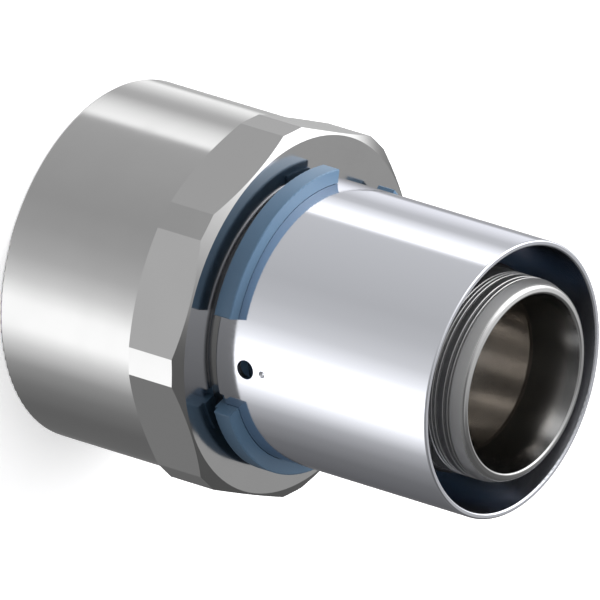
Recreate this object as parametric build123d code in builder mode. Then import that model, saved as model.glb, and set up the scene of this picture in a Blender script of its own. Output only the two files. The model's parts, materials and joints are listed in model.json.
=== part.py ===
from build123d import *
import os
from math import acos, cos, degrees, radians, tan

# Press connector for multilayer pipe, with a female pipe thread at the other end.
# It stands on its threaded end: the axis is +Z, the origin is the centre of that end's face,
# and the octagon's flats face along X and Y. Lengths are in millimetres.

os.makedirs("parts", exist_ok=True)

# The pipe that is pressed on
pipe_od = 40.0
pipe_wall = 4.0
nipple_play = 0.05
pipe_play = 0.9

# Threaded socket. The bore is plain at the thread's major diameter.
thread_major_d = 47.8
thread_depth = 22.0
thread_lead_in = 0.7
socket_wall = 4.4
socket_length = 25.35
socket_edge_radius = 0.4
shoulder_width = 2.4

# Spanner octagon, 57 across its flats. The steps are measured from the socket's surface.
octagon_sides = 8
flat_step = 0.2
corner_step = 1.7
octagon_height = 10.25
octagon_chamfer_angle = 30.0
front_face_margin = 0.32
blank_margin = 1.0

# Nipple, its waterway and its tip
nipple_length = 43.56
nipple_wall = 3.45
nose_wall = 1.85
nose_cone_length = 8.7
nose_taper_length = 2.3
nose_taper = 0.6
nose_crown_angle = 12.0
nose_outer_radius = 0.8
nose_inner_radius = 0.3

# Ribs, cut as narrow grooves between them. Three groups start at a distance from the tip,
# and the root group at one from the octagon's face.
rib_groove_width = 0.3
rib_groove_depth = 0.4
rib_chamfer = 0.09
nose_group_start = 2.56
nose_group_count = 2
nose_group_pitch = 0.86
front_group_start = 4.86
front_group_count = 3
front_group_pitch = 0.68
middle_group_start = 14.0
middle_group_count = 3
middle_group_pitch = 0.75
root_group_from_face = 3.96
root_group_count = 6
root_group_pitch = 0.72

# O-rings and their grooves
o_ring_cord = 2.4
o_ring_squeeze = 0.5
o_ring_side_play = 0.4
o_ring_seat_play = 0.02
front_o_ring_from_tip = 10.5
rear_o_ring_from_tip = 20.5

# Press sleeve
sleeve_wall = 0.95
sleeve_rear_gap = 0.95
sleeve_length = 40.25
sleeve_edge_radius = 0.3
sleeve_rear_radius = 0.5
window_d = 3.1
window_from_rear = 5.85
dimple_radius = 0.6
dimple_depth = 0.4
dimple_from_window = 3.15

# Stop ring: an inner hoop, and collar segments joined to it by webs through the sleeve's notches
segment_count = 3
segment_gap_angle = 38.8
first_gap_azimuth = -67.5
collar_rear_gap = 1.45
collar_length = 3.1
collar_thickness = 2.25
collar_edge_radius = 0.2
fit_play = 0.05
hoop_margin = 0.6
bead_height = 0.45
bead_width = 1.0
bead_from_seat = 0.25
web_angle = 14.0
web_overlap = 0.65
notch_open_angle = 4.5
notch_side_play = 0.3

# Sizes that follow from the ones above
nipple_r = pipe_od / 2 - pipe_wall - nipple_play
sleeve_inner_r = pipe_od / 2 + pipe_play
sleeve_outer_r = sleeve_inner_r + sleeve_wall
thread_r = thread_major_d / 2
socket_r = thread_r + socket_wall
flat_r = socket_r + flat_step
corner_r = socket_r + corner_step
bore_r = nipple_r - nipple_wall
nose_bore_r = nipple_r - nose_wall
face_z = socket_length + octagon_height
tip_z = face_z + nipple_length
nose_rim_r = nipple_r - nose_taper
sleeve_rear_z = face_z + sleeve_rear_gap
window_z = sleeve_rear_z + window_from_rear
collar_rear_z = face_z + collar_rear_gap
web_length = collar_rear_z + web_overlap - sleeve_rear_z
hoop_outer_r = sleeve_inner_r - fit_play
seat_height = sleeve_rear_gap - fit_play
hoop_length = collar_rear_gap + web_overlap + hoop_margin - seat_height
cone_start_r = thread_r - shoulder_width
o_ring_floor_r = nipple_r + o_ring_squeeze - o_ring_cord
segment_pitch = 360 / segment_count
segment_angle = segment_pitch - segment_gap_angle
first_start = first_gap_azimuth + segment_gap_angle / 2
segment_starts = [first_start + i * segment_pitch for i in range(segment_count)]


def turned_profile(*points):
    """Closed outline in the XZ plane, ready to be revolved about Z."""
    with BuildLine() as outline:
        Polyline(*points, close=True)
    make_face(outline.edges())


def ring_sector(inner_r, outer_r, start, angle):
    """Part of a flat ring, from an azimuth and over an angle in degrees."""
    with BuildLine() as outline:
        outer = CenterArc((0, 0), outer_r, start, angle)
        inner = CenterArc((0, 0), inner_r, start, angle)
        Line(outer @ 0, inner @ 0)
        Line(outer @ 1, inner @ 1)
    make_face(outline.edges())


def groove_heights(first, count, step):
    """Middle heights of a group of rib grooves."""
    return [first + i * step for i in range(count)]


# Chamfered mouth of a rib groove, about the point where its middle meets the nipple's surface
rib_mouth = (
    (-rib_chamfer, -rib_groove_width / 2),
    (rib_chamfer, -rib_groove_width / 2 - 2 * rib_chamfer),
    (rib_chamfer, rib_groove_width / 2 + 2 * rib_chamfer),
    (-rib_chamfer, rib_groove_width / 2),
)
rib_grooves = (
    groove_heights(tip_z - nose_group_start, nose_group_count, -nose_group_pitch)
    + groove_heights(tip_z - front_group_start, front_group_count, -front_group_pitch)
    + groove_heights(tip_z - middle_group_start, middle_group_count, -middle_group_pitch)
    + groove_heights(face_z + root_group_from_face, root_group_count, root_group_pitch)
)
o_ring_heights = {
    "o_ring_front": tip_z - front_o_ring_from_tip,
    "o_ring_rear": tip_z - rear_o_ring_from_tip,
}

# Body: socket, octagon and nipple, turned from one forging
with BuildPart() as body:
    # The octagon's corners are cut to narrow flat lands, and both ends are chamfered
    octagon_turn = 180 / octagon_sides
    land_half_angle = octagon_turn - degrees(acos(flat_r / corner_r))
    with BuildSketch(Plane.XY.offset(socket_length)):
        RegularPolygon(flat_r, octagon_sides, major_radius=False, rotation=octagon_turn)
        land_r = corner_r * cos(radians(land_half_angle))
        RegularPolygon(land_r, octagon_sides, major_radius=False, mode=Mode.INTERSECT)
    extrude(amount=octagon_height)
    chamfer_slope = tan(radians(octagon_chamfer_angle))
    face_r = flat_r - front_face_margin
    blank_r = corner_r + blank_margin
    with BuildSketch(Plane.XZ):
        turned_profile(
            (0, socket_length),
            (socket_r, socket_length),
            (blank_r, socket_length + (blank_r - socket_r) * chamfer_slope),
            (blank_r, face_z - (blank_r - face_r) * chamfer_slope),
            (face_r, face_z),
            (0, face_z),
        )
    revolve(axis=Axis.Z, mode=Mode.INTERSECT)

    # Outside of the socket and of the nipple. A low seat at the nipple's root carries the stop ring.
    with BuildSketch(Plane.XZ) as socket_outline:
        with Locations((0, socket_length)):
            Rectangle(socket_r, socket_length, align=(Align.MIN, Align.MAX))
        outer_corner = socket_outline.vertices().group_by(Axis.Y)[0].sort_by(Axis.X)[-1]
        fillet(outer_corner, radius=socket_edge_radius)
    revolve(axis=Axis.Z)
    with BuildSketch(Plane.XZ) as nipple_outline:
        turned_profile(
            (0, face_z),
            (hoop_outer_r, face_z),
            (hoop_outer_r, face_z + seat_height),
            (nipple_r, face_z + seat_height),
            (nipple_r, tip_z - nose_taper_length),
            (nose_rim_r, tip_z - (nose_rim_r - nose_bore_r) * tan(radians(nose_crown_angle))),
            (nose_bore_r, tip_z),
            (0, tip_z),
        )
        rim_corner = nipple_outline.vertices().group_by(Axis.Y)[-2]
        fillet(rim_corner, radius=nose_outer_radius)
    revolve(axis=Axis.Z)

    # Inside: thread bore, shoulder, cone, waterway and the cone at the nose
    cone_end_z = thread_depth + cone_start_r - bore_r
    with BuildSketch(Plane.XZ):
        turned_profile(
            (0, 0),
            (thread_r + thread_lead_in, 0),
            (thread_r, thread_lead_in),
            (thread_r, thread_depth),
            (cone_start_r, thread_depth),
            (bore_r, cone_end_z),
            (bore_r, tip_z - nose_cone_length),
            (nose_bore_r, tip_z),
            (0, tip_z),
        )
    revolve(axis=Axis.Z, mode=Mode.SUBTRACT)
    nose_edge = body.edges().filter_by(GeomType.CIRCLE).group_by(Axis.Z)[-1]
    fillet(nose_edge, radius=nose_inner_radius)

    # Grooves: the ribs', the O-rings' and the one that holds the stop ring's bead
    with BuildSketch(Plane.XZ):
        with Locations(*[(nipple_r, z) for z in rib_grooves]):
            Rectangle(2 * rib_groove_depth, rib_groove_width)
            Polygon(*rib_mouth, align=None)
        with Locations(*[(o_ring_floor_r, z) for z in o_ring_heights.values()]):
            Rectangle(o_ring_cord, o_ring_cord + 2 * o_ring_side_play, align=(Align.MIN, Align.CENTER))
        with Locations((nipple_r, face_z + seat_height + bead_from_seat + bead_width / 2)):
            Rectangle(2 * bead_height, bead_width)
    revolve(axis=Axis.Z, mode=Mode.SUBTRACT)
body.part.label = "body"
export_step(body.part, "parts/body.step")

# O-rings, one in each groove of the nipple
for ring_name, ring_z in o_ring_heights.items():
    with BuildPart(Plane.XY.offset(ring_z)) as o_ring:
        Torus(o_ring_floor_r + o_ring_seat_play + o_ring_cord / 2, o_ring_cord / 2)
    o_ring.part.label = ring_name
    export_step(o_ring.part, f"parts/{ring_name}.step")

# Press sleeve: a drawn tube with inspection windows, dimples and notches for the webs
with BuildPart() as press_sleeve:
    with BuildSketch(Plane.XY.offset(sleeve_rear_z)):
        Circle(sleeve_outer_r)
        Circle(sleeve_inner_r, mode=Mode.SUBTRACT)
    extrude(amount=sleeve_length)
    fillet(press_sleeve.faces().sort_by(Axis.Z)[-1].edges(), radius=sleeve_edge_radius)
    rear_edge = press_sleeve.faces().sort_by(Axis.Z)[0].edges().sort_by(SortBy.RADIUS)[-1]
    fillet(rear_edge, radius=sleeve_rear_radius)
    with Locations((0, 0, window_z)):
        with PolarLocations(sleeve_outer_r, segment_count, start_angle=first_gap_azimuth):
            Cylinder(window_d / 2, 4 * sleeve_wall, rotation=(0, 90, 0), mode=Mode.SUBTRACT)
    dimple_centre_r = sleeve_outer_r + dimple_radius - dimple_depth
    with Locations((0, 0, window_z + dimple_from_window)):
        with PolarLocations(dimple_centre_r, segment_count, start_angle=first_gap_azimuth):
            Sphere(dimple_radius, mode=Mode.SUBTRACT)
    notch_inner_r = sleeve_inner_r - sleeve_wall
    notch_outer_r = sleeve_outer_r + sleeve_wall
    notch_angle = notch_open_angle + web_angle + notch_side_play
    with BuildSketch(Plane.XY.offset(sleeve_rear_z)):
        for start in segment_starts:
            ring_sector(notch_inner_r, notch_outer_r, start - notch_open_angle, notch_angle)
    extrude(amount=web_length + fit_play, mode=Mode.SUBTRACT)
press_sleeve.part.label = "press_sleeve"
export_step(press_sleeve.part, "parts/press_sleeve.step")

# Stop ring, moulded in one piece
with BuildPart() as stop_ring:
    # Collar segments round the sleeve's rear end
    collar_inner_r = sleeve_outer_r + fit_play
    collar_outer_r = sleeve_outer_r + fit_play + collar_thickness
    with BuildSketch(Plane.XY.offset(collar_rear_z)):
        for start in segment_starts:
            ring_sector(collar_inner_r, collar_outer_r, start, segment_angle)
    extrude(amount=collar_length)
    outer_edges = stop_ring.faces().filter_by(GeomType.CYLINDER).group_by(SortBy.RADIUS)[-1].edges()
    fillet(outer_edges, radius=collar_edge_radius)

    # Webs through the sleeve's notches, flush with its rear end
    hoop_inner_r = nipple_r + fit_play
    with BuildSketch(Plane.XY.offset(sleeve_rear_z)):
        for start in segment_starts:
            ring_sector(hoop_outer_r - fit_play, collar_inner_r + collar_thickness / 2, start, web_angle)
    extrude(amount=web_length)

    # Hoop between the nipple and the sleeve, with a bead that snaps into the nipple's groove
    with BuildSketch(Plane.XY.offset(face_z + seat_height)):
        Circle(hoop_outer_r)
        Circle(hoop_inner_r, mode=Mode.SUBTRACT)
    extrude(amount=hoop_length)
    with BuildSketch(Plane.XY.offset(face_z + seat_height + bead_from_seat + fit_play)):
        Circle(hoop_outer_r)
        Circle(hoop_inner_r - bead_height, mode=Mode.SUBTRACT)
    extrude(amount=bead_width - 2 * fit_play)
stop_ring.part.label = "stop_ring"
export_step(stop_ring.part, "parts/stop_ring.step")
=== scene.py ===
import json
from math import cos, pi, radians, sin, tan
import bpy
import bmesh
from mathutils import Matrix, Vector


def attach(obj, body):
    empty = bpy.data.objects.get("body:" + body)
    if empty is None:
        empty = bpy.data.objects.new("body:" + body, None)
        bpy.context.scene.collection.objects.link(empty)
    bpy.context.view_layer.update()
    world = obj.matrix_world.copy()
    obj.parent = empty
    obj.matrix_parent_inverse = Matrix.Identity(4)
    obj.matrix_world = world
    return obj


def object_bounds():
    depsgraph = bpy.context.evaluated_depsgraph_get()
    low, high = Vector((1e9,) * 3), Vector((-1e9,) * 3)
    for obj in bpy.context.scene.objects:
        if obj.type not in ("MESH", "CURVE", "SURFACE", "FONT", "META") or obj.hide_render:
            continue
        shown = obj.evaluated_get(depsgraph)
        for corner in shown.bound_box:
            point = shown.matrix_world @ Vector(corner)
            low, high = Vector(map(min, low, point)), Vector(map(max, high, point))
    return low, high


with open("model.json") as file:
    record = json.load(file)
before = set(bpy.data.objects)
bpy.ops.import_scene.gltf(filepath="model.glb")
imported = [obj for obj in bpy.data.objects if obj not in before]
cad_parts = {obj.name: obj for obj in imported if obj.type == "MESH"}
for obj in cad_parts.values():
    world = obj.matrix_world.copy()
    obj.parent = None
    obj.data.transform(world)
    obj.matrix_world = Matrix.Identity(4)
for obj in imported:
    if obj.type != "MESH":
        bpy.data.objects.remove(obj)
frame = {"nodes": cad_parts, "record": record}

mm = 0.001
nodes = frame["nodes"]
scene = bpy.context.scene
scene.view_settings.view_transform = "Standard"
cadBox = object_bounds()
print("frame loaded:", ", ".join(sorted(nodes)))


# sRGB hex to the linear colour that sockets take
def linearColor(hexText):
    channels = [int(hexText[i:i + 2], 16) / 255 for i in (1, 3, 5)]
    return [c / 12.92 if c <= 0.04045 else ((c + 0.055) / 1.055) ** 2.4 for c in channels] + [1.0]


# adds one node, with its settings, and its inputs given as values or as sockets to link
def addNode(tree, kind, at, inputs=None, **settings):
    node = tree.nodes.new(kind)
    node.location = at
    for name, value in settings.items():
        setattr(node, name, value)
    for name, value in (inputs or {}).items():
        if isinstance(value, bpy.types.NodeSocket):
            tree.links.new(value, node.inputs[name])
        else:
            node.inputs[name].default_value = value
    return node


# materials
noiseLow, noiseHigh = 0.3, 0.7  # nearly all of a noise lies between these


def newMaterial(name):
    material = bpy.data.materials.new(name)
    material.use_nodes = True
    material.node_tree.nodes.clear()
    return material, material.node_tree


# Tin-plated brass, forged and then turned: a fairly sharp, neutral mirror with faint lathe rings.
tinnedBrass = {
    "color": "#C5C5C5",
    "tarnish": "#BDBDBD",
    "roughness": 0.13,
    "roughnessPlay": 0.03,
    "paintedLightBoreColor": "#EBE6E0",  # painted light: the waterway gets a lighter colour that stands in for light reaching down the bore
    "boreRadius": 12.6 * mm,
    "nippleRadius": 15.75 * mm,  # the nipple's outside is duller, left as it was turned
    "nippleBand": 0.35 * mm,
    "nippleStart": 37 * mm,
    "nippleRoughness": 0.42,
    "ringPitch": 0.35 * mm,  # real feed marks are nearer 0.1 mm, too fine to show
    "ringHeight": 0.00025 * mm,
    "cloudSize": 9 * mm,
}


def makeTinnedBrass(look):
    material, tree = newMaterial("tin plated brass, turned")
    coords = addNode(tree, "ShaderNodeTexCoord", (-1400, 0))
    place = addNode(tree, "ShaderNodeSeparateXYZ", (-1200, -200), {0: coords.outputs["Object"]})
    flat = addNode(tree, "ShaderNodeCombineXYZ", (-1000, -120), {0: place.outputs[0], 1: place.outputs[1]})
    radius = addNode(tree, "ShaderNodeVectorMath", (-820, -120), {0: flat.outputs[0]}, operation="LENGTH")
    ringPlace = addNode(tree, "ShaderNodeCombineXYZ", (-640, -200), {
        0: radius.outputs["Value"], 1: place.outputs[2]})
    rings = addNode(tree, "ShaderNodeTexNoise", (-440, -260), {
        "Vector": ringPlace.outputs[0], "Scale": 1 / look["ringPitch"], "Detail": 2.0, "Roughness": 0.6})
    clouds = addNode(tree, "ShaderNodeTexNoise", (-440, 120), {
        "Vector": coords.outputs["Object"], "Scale": 1 / look["cloudSize"], "Detail": 3.0})
    color = addNode(tree, "ShaderNodeMix", (-200, 220), {
        0: clouds.outputs["Fac"], 6: linearColor(look["color"]),
        7: linearColor(look["tarnish"])}, data_type="RGBA")
    # painted light: inside the bore's radius the metal's colour is swapped for a lighter one, standing in
    # for light reaching down the waterway
    paintedLightBoreMask = addNode(tree, "ShaderNodeMath", (-440, 420), {
        0: radius.outputs["Value"], 1: look["boreRadius"]}, operation="LESS_THAN")
    shade = addNode(tree, "ShaderNodeMix", (-20, 320), {
        0: paintedLightBoreMask.outputs[0], 6: color.outputs[2], 7: linearColor(look["paintedLightBoreColor"])}, data_type="RGBA")
    roughness = addNode(tree, "ShaderNodeMapRange", (-200, 0), {
        0: clouds.outputs["Fac"], 1: noiseLow, 2: noiseHigh,
        3: look["roughness"] - look["roughnessPlay"], 4: look["roughness"] + look["roughnessPlay"]})
    atNipple = addNode(tree, "ShaderNodeMath", (-440, -480), {
        0: radius.outputs["Value"], 1: look["nippleRadius"], 2: look["nippleBand"]}, operation="COMPARE")
    aboveFace = addNode(tree, "ShaderNodeMath", (-440, -660), {
        0: place.outputs[2], 1: look["nippleStart"]}, operation="GREATER_THAN")
    onNipple = addNode(tree, "ShaderNodeMath", (-200, -480), {
        0: atNipple.outputs[0], 1: aboveFace.outputs[0]}, operation="MULTIPLY")
    finish = addNode(tree, "ShaderNodeMix", (-20, -120), {
        0: onNipple.outputs[0], 2: roughness.outputs[0], 3: look["nippleRoughness"]}, data_type="FLOAT")
    bump = addNode(tree, "ShaderNodeBump", (-200, -260), {
        "Height": rings.outputs["Fac"], "Distance": look["ringHeight"], "Strength": 1.0})
    shader = addNode(tree, "ShaderNodeBsdfPrincipled", (200, 100), {
        "Base Color": shade.outputs[2], "Roughness": finish.outputs[0], "Normal": bump.outputs[0],
        "Metallic": 1.0})
    addNode(tree, "ShaderNodeOutputMaterial", (480, 100), {0: shader.outputs[0]})
    return material


# Stainless steel tube, cold drawn: a clear cool mirror with very faint draw lines along it.
drawnSteel = {
    "color": "#E9EBF2",
    "edge": "#D6D6DA",  # its mirror dulls at a glancing angle
    "roughness": 0.10,
    "roughnessPlay": 0.02,
    "insideRadius": 21.2 * mm,  # the inside keeps a duller skin from the drawing
    "insideRoughness": 0.2,
    "lineWidth": 0.25 * mm,
    "lineHeight": 0.0002 * mm,
    "lineLength": 30 * mm,
}


def makeDrawnSteel(look):
    material, tree = newMaterial("stainless steel, cold drawn")
    coords = addNode(tree, "ShaderNodeTexCoord", (-900, 0))
    stretch = addNode(tree, "ShaderNodeMapping", (-700, 0), {
        "Vector": coords.outputs["Object"], "Scale": (1, 1, look["lineWidth"] / look["lineLength"])})
    lines = addNode(tree, "ShaderNodeTexNoise", (-480, 0), {
        "Vector": stretch.outputs[0], "Scale": 1 / look["lineWidth"], "Detail": 2.0})
    roughness = addNode(tree, "ShaderNodeMapRange", (-240, 60), {
        0: lines.outputs["Fac"], 1: noiseLow, 2: noiseHigh,
        3: look["roughness"] - look["roughnessPlay"], 4: look["roughness"] + look["roughnessPlay"]})
    across = addNode(tree, "ShaderNodeVectorMath", (-700, 260), {
        0: coords.outputs["Object"], 1: (1, 1, 0)}, operation="MULTIPLY")
    radius = addNode(tree, "ShaderNodeVectorMath", (-480, 260), {0: across.outputs[0]}, operation="LENGTH")
    inside = addNode(tree, "ShaderNodeMath", (-240, 260), {
        0: radius.outputs["Value"], 1: look["insideRadius"]}, operation="LESS_THAN")
    finish = addNode(tree, "ShaderNodeMix", (-100, 160), {
        0: inside.outputs[0], 2: roughness.outputs[0], 3: look["insideRoughness"]}, data_type="FLOAT")
    bump = addNode(tree, "ShaderNodeBump", (-240, -200), {
        "Height": lines.outputs["Fac"], "Distance": look["lineHeight"], "Strength": 1.0})
    shader = addNode(tree, "ShaderNodeBsdfPrincipled", (80, 60), {
        "Base Color": linearColor(look["color"]), "Roughness": finish.outputs[0],
        "Specular Tint": linearColor(look["edge"]), "Normal": bump.outputs[0], "Metallic": 1.0})
    addNode(tree, "ShaderNodeOutputMaterial", (280, 60), {0: shader.outputs[0]})
    return material


# Polyamide, injection moulded: semi-matt blue with a fine spark-eroded grain.
blueNylon = {
    "color": "#597792",
    "shade": "#506C87",
    "roughness": 0.38,
    "ior": 1.53,
    "grain": 0.18 * mm,
    "grainHeight": 0.004 * mm,
    "cloudSize": 6 * mm,
}


def makeBlueNylon(look):
    material, tree = newMaterial("polyamide, moulded blue")
    coords = addNode(tree, "ShaderNodeTexCoord", (-900, 0))
    clouds = addNode(tree, "ShaderNodeTexNoise", (-640, 160), {
        "Vector": coords.outputs["Object"], "Scale": 1 / look["cloudSize"], "Detail": 2.0})
    grain = addNode(tree, "ShaderNodeTexNoise", (-640, -160), {
        "Vector": coords.outputs["Object"], "Scale": 1 / look["grain"], "Detail": 1.0})
    color = addNode(tree, "ShaderNodeMix", (-360, 200), {
        0: clouds.outputs["Fac"], 6: linearColor(look["color"]),
        7: linearColor(look["shade"])}, data_type="RGBA")
    bump = addNode(tree, "ShaderNodeBump", (-360, -160), {
        "Height": grain.outputs["Fac"], "Distance": look["grainHeight"], "Strength": 0.5})
    shader = addNode(tree, "ShaderNodeBsdfPrincipled", (-80, 60), {
        "Base Color": color.outputs[2], "Roughness": look["roughness"], "IOR": look["ior"],
        "Normal": bump.outputs[0]})
    addNode(tree, "ShaderNodeOutputMaterial", (200, 60), {0: shader.outputs[0]})
    return material


# Peroxide-cured EPDM: black, with a dull sheen from the mould.
blackRubber = {
    "color": "#17171A",
    "roughness": 0.48,
    "ior": 1.5,
    "grain": 0.3 * mm,
    "grainHeight": 0.003 * mm,
}


def makeBlackRubber(look):
    material, tree = newMaterial("EPDM rubber, moulded black")
    coords = addNode(tree, "ShaderNodeTexCoord", (-700, 0))
    grain = addNode(tree, "ShaderNodeTexNoise", (-480, -120), {
        "Vector": coords.outputs["Object"], "Scale": 1 / look["grain"], "Detail": 2.0})
    bump = addNode(tree, "ShaderNodeBump", (-240, -120), {
        "Height": grain.outputs["Fac"], "Distance": look["grainHeight"], "Strength": 0.5})
    shader = addNode(tree, "ShaderNodeBsdfPrincipled", (0, 0), {
        "Base Color": linearColor(look["color"]), "Roughness": look["roughness"], "IOR": look["ior"],
        "Normal": bump.outputs[0]})
    addNode(tree, "ShaderNodeOutputMaterial", (280, 0), {0: shader.outputs[0]})
    return material


tinnedBrassMaterial = makeTinnedBrass(tinnedBrass)
blackRubberMaterial = makeBlackRubber(blackRubber)
nodeFinishes = {
    "body": tinnedBrassMaterial,
    "press_sleeve": makeDrawnSteel(drawnSteel),
    "stop_ring": makeBlueNylon(blueNylon),
    "o_ring_front": blackRubberMaterial,
    "o_ring_rear": blackRubberMaterial,
}
for name, material in nodeFinishes.items():
    for slot in nodes[name].material_slots:
        slot.material = material
print("finishes given to", len(nodeFinishes), "nodes")


# the female pipe thread, as one ridge that winds up the socket's bore
pipeThread = {
    "pitch": 2.309 * mm,  # 11 threads to the inch
    "crestRadius": 22.42 * mm,
    "flankAngle": 27.5,  # half of the 55 degree form
    "crestFlat": 0.26 * mm,
    "crestRound": 0.18 * mm,
    "shoulderSpread": 1.6,  # the crest's corner runs out this much flatter than the flank
    "seat": 0.05 * mm,  # how far the ridge's foot sits in the wall
    "firstHeight": 1.25 * mm,
    "lastHeight": 20.7 * mm,
    "stepsPerTurn": 96,
    "runoutTurns": 0.35,
    "sharpAngle": 40,
}


def makePipeThread(look):
    mounts = {mount["name"]: mount for mount in frame["record"]["mounts"]}
    footRadius = mounts["pipe_thread"]["dims"]["r_mm"] * mm + look["seat"]
    slope = tan(radians(look["flankAngle"]))
    crest, crestFlat, crestRound = look["crestRadius"], look["crestFlat"], look["crestRound"]
    shoulder = crestFlat / 2 + crestRound * slope * look["shoulderSpread"]
    foot = shoulder + (footRadius - crest - crestRound) * slope
    profile = [(footRadius, -foot), (crest + crestRound, -shoulder), (crest, -crestFlat / 2),
               (crest, crestFlat / 2), (crest + crestRound, shoulder), (footRadius, foot)]
    total = look["lastHeight"] - look["firstHeight"]
    turns = total / look["pitch"]
    steps = round(turns * look["stepsPerTurn"])
    bm = bmesh.new()
    ring = [bm.verts.new((r, 0, look["firstHeight"] + z)) for r, z in profile]
    edges = [bm.edges.new((ring[i], ring[(i + 1) % len(ring)])) for i in range(len(ring))]
    bmesh.ops.spin(bm, geom=ring + edges, cent=(0, 0, 0), axis=(0, 0, 1), angle=2 * pi * turns,
                   dvec=(0, 0, look["pitch"] / look["stepsPerTurn"]), steps=steps, use_merge=False)
    bmesh.ops.holes_fill(bm, edges=[edge for edge in bm.edges if edge.is_boundary], sides=len(profile))
    # the ridge runs out into the wall at both ends
    runout = look["runoutTurns"] * look["pitch"]
    for vert in bm.verts:
        angle = Vector(vert.co.xy).angle_signed(Vector((1, 0))) % (2 * pi)
        turn = round((vert.co.z - look["firstHeight"]) / look["pitch"] - angle / (2 * pi))
        along = (turn + angle / (2 * pi)) * look["pitch"]
        share = min(1.0, max(0.0, min(along, total - along)) / runout)
        radius = vert.co.xy.length
        vert.co.xy *= (footRadius + (radius - footRadius) * share) / radius
    bmesh.ops.recalc_face_normals(bm, faces=bm.faces)
    mesh = bpy.data.meshes.new("pipe_thread")
    bm.to_mesh(mesh)
    bm.free()
    mesh.shade_smooth()
    mesh.set_sharp_from_angle(angle=radians(look["sharpAngle"]))
    thread = bpy.data.objects.new("pipe_thread", mesh)
    scene.collection.objects.link(thread)
    thread.data.materials.append(tinnedBrassMaterial)
    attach(thread, "root")
    return thread


threadPiece = makePipeThread(pipeThread)
print("thread cut:", len(threadPiece.data.polygons), "faces")


# floor: pale, seen by the camera alone, so that the studio's low lights reach the part through it
floorLook = {"radius": 3.0, "sides": 64, "color": "#E9E9EA", "glow": 0.42}


def makeFloor(look):
    bm = bmesh.new()
    bmesh.ops.create_circle(bm, cap_ends=True, segments=look["sides"], radius=look["radius"])
    mesh = bpy.data.meshes.new("floor")
    bm.to_mesh(mesh)
    bm.free()
    floor = bpy.data.objects.new("floor", mesh)
    floor.location.z = cadBox[0].z
    scene.collection.objects.link(floor)
    material, tree = newMaterial("studio floor, white")
    matt = addNode(tree, "ShaderNodeBsdfDiffuse", (-200, 100), {0: linearColor(look["color"])})
    glow = addNode(tree, "ShaderNodeEmission", (-200, -60), {1: look["glow"]})
    both = addNode(tree, "ShaderNodeAddShader", (0, 0), {0: matt.outputs[0], 1: glow.outputs[0]})
    addNode(tree, "ShaderNodeOutputMaterial", (200, 0), {0: both.outputs[0]})
    floor.data.materials.append(material)
    floor.visible_glossy = False
    floor.visible_diffuse = False
    floor.visible_transmission = False
    floor.visible_shadow = False


makeFloor(floorLook)

# camera, at the photograph's angle. Azimuths are in the row frame, about the part's axis.
photoView = {
    "azimuth": -95.86,  # the camera stands on this side of the axis
    "elevation": 34.23,
    "tilt": 16.97,  # the axis runs down to the right in the picture by this angle
    "aimHeight": 35.21 * mm,
    "aimSide": -2.19 * mm,
    "frameWidth": 91.46 * mm,
    "lens": 1500,  # so long that the view is as good as parallel
    "sensorWidth": 36,
    "clipStart": 0.1,
    "clipReach": 4,  # times the distance to the part
}


def makeCamera(look):
    axis = Vector((0, 0, 1))
    toCamera = Vector((cos(radians(look["azimuth"])), sin(radians(look["azimuth"])), 0))
    side = axis.cross(toCamera)
    rise = radians(look["elevation"])
    tilt = radians(look["tilt"])
    back = toCamera * cos(rise) + axis * sin(rise)
    along = axis * cos(rise) - toCamera * sin(rise)
    right = along * cos(tilt) - side * sin(tilt)
    up = -along * sin(tilt) - side * cos(tilt)
    data = bpy.data.cameras.new("photo camera")
    data.lens = look["lens"]
    data.sensor_width = look["sensorWidth"]
    distance = look["frameWidth"] * look["lens"] / data.sensor_width
    data.clip_start = look["clipStart"]
    data.clip_end = distance * look["clipReach"]
    camera = bpy.data.objects.new("photo camera", data)
    scene.collection.objects.link(camera)
    aim = axis * look["aimHeight"] + side * look["aimSide"]
    turn = Matrix((right, up, back)).transposed().to_4x4()
    camera.matrix_world = Matrix.Translation(aim + back * distance) @ turn
    scene.camera = camera


makeCamera(photoView)

# studio light, in bands one over another. Azimuths here are counted from the camera's side of the part.
# The walls of an upright tube mirror what lies below the horizon, and its upper faces what lies above.
studio = {
    "keySide": -110,
    # tall soft boxes and flags round the part: azimuth and brightness
    "walls": [
        (-180, 0.24), (-168, 0.62), (-159, 0.52), (-152, 1.38), (-143, 1.20), (-127, 0.68), (-119, 0.66),
        (-104, 1.34), (-92, 1.72), (-88, 0.62), (-24, 0.51), (-6, 0.56), (14, 0.72), (28, 1.08),
        (43, 1.80), (60, 1.80), (72, 1.10), (87, 0.48), (104, 0.28), (124, 0.19), (160, 0.17), (180, 0.24)],
    "horizon": [
        (-180, 0.14), (-170, 0.18), (-158, 0.46), (-60, 0.48), (10, 0.46), (40, 0.36), (60, 0.27),
        (100, 0.20), (160, 0.14), (180, 0.14)],
    # over them, with the key light
    "eaves": [
        (-180, 0.50), (-172, 0.64), (-160, 1.15), (-140, 2.60), (-100, 2.90), (-75, 1.80), (-45, 0.80),
        (0, 0.46), (20, 0.39), (80, 0.26), (110, 0.15), (150, 0.13), (166, 0.19), (180, 0.50)],
    # by how far the direction leans to the key's side
    "ceiling": [
        (-0.9, 0.10), (-0.3, 0.17), (-0.2, 0.30), (-0.1, 0.50), (0.0, 0.60), (0.15, 0.82), (0.3, 1.03),
        (0.45, 1.35), (0.9, 1.50)],
    # degrees of elevation over which each band takes over from the one below
    "starts": {"horizon": (-22, -12), "eaves": (3, 15), "ceiling": (50, 64)},
}
# soft discs for the plastic and the floor. They stay out of the metal's mirror.
softDiscs = {
    "overhead": {"azimuth": 0, "elevation": 90, "distance": 0.6, "width": 0.5, "power": 1.8},
    "key": {"azimuth": -110, "elevation": 30, "distance": 0.6, "width": 0.4, "power": 2.8},
}


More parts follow.
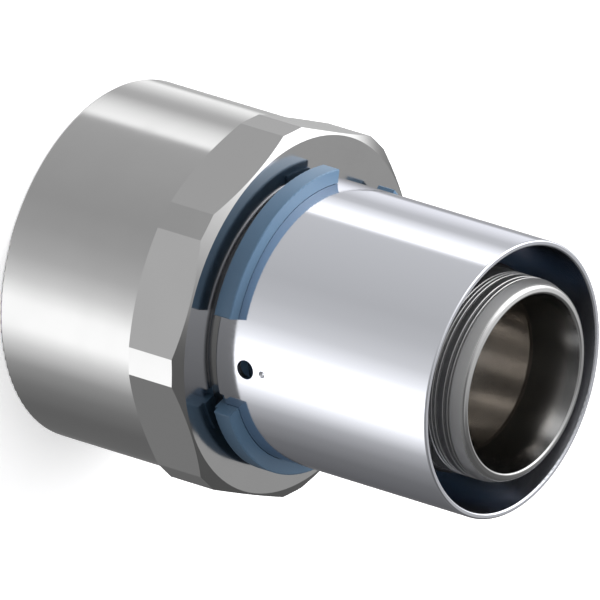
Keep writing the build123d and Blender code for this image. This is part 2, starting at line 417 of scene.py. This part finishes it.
# the ramp holds shares of its brightest stop, and the light's strength gives that back
def setRamp(node, stops, low, high):
    ramp = node.color_ramp
    ramp.interpolation = "LINEAR"
    peak = max(value for at, value in stops)
    while len(ramp.elements) < len(stops):
        ramp.elements.new(0.5)
    for element, (at, value) in zip(ramp.elements, stops):
        element.position = (at - low) / (high - low)
        element.color = [value / peak] * 3 + [1]
    return peak


def makeStudio(look):
    world = bpy.data.worlds.new("studio")
    scene.world = world
    world.use_nodes = True
    tree = world.node_tree
    tree.nodes.clear()
    coords = addNode(tree, "ShaderNodeTexCoord", (-1600, 0))
    turn = addNode(tree, "ShaderNodeMapping", (-1400, 0), {
        "Vector": coords.outputs["Generated"], "Rotation": (0, 0, -radians(photoView["azimuth"]))})
    parts = addNode(tree, "ShaderNodeSeparateXYZ", (-1200, 0), {0: turn.outputs[0]})
    azimuth = addNode(tree, "ShaderNodeMath", (-1000, 160), {
        0: parts.outputs[1], 1: parts.outputs[0]}, operation="ARCTAN2")
    around = addNode(tree, "ShaderNodeMapRange", (-800, 160), {0: azimuth.outputs[0], 1: -pi, 2: pi})
    key = radians(look["keySide"])
    lean = addNode(tree, "ShaderNodeVectorMath", (-1000, -120), {
        0: turn.outputs[0], 1: (cos(key), sin(key), 0)}, operation="DOT_PRODUCT")
    side = addNode(tree, "ShaderNodeMapRange", (-800, -120), {0: lean.outputs["Value"], 1: -1.0, 2: 1.0})
    room = None
    for row, band in enumerate(("walls", "horizon", "eaves", "ceiling")):
        place, reach = (side, 1) if band == "ceiling" else (around, 180)
        ramp = addNode(tree, "ShaderNodeValToRGB", (-560, 300 * row), {0: place.outputs[0]})
        peak = setRamp(ramp, look[band], -reach, reach)
        light = addNode(tree, "ShaderNodeBackground", (-240, 300 * row), {0: ramp.outputs[0], 1: peak})
        if room is None:
            room = light
            continue
        low, high = (sin(radians(angle)) for angle in look["starts"][band])
        rise = addNode(tree, "ShaderNodeMapRange", (-560, -300 * row), {
            0: parts.outputs[2], 1: low, 2: high}, interpolation_type="SMOOTHSTEP")
        room = addNode(tree, "ShaderNodeMixShader", (100 * row - 200, 100), {
            0: rise.outputs[0], 1: room.outputs[0], 2: light.outputs[0]})
    white = addNode(tree, "ShaderNodeBackground", (0, -160), {0: (1, 1, 1, 1), 1: 1.0})
    path = addNode(tree, "ShaderNodeLightPath", (0, 420))
    seen = addNode(tree, "ShaderNodeMixShader", (240, 100), {
        0: path.outputs["Is Camera Ray"], 1: room.outputs[0], 2: white.outputs[0]})
    addNode(tree, "ShaderNodeOutputWorld", (460, 100), {0: seen.outputs[0]})


def makeDisc(name, look):
    data = bpy.data.lights.new(name, "AREA")
    data.shape = "DISK"
    data.size = look["width"]
    data.energy = look["power"]
    lamp = bpy.data.objects.new(name, data)
    azimuth = radians(photoView["azimuth"] + look["azimuth"])
    rise = radians(look["elevation"])
    toLamp = Vector((cos(azimuth) * cos(rise), sin(azimuth) * cos(rise), sin(rise)))
    lamp.location = Vector((0, 0, photoView["aimHeight"])) + toLamp * look["distance"]
    lamp.rotation_euler = toLamp.to_track_quat("Z", "Y").to_euler()
    lamp.visible_glossy = False
    scene.collection.objects.link(lamp)


makeStudio(studio)
for name, look in softDiscs.items():
    makeDisc(name, look)
print("studio lit")
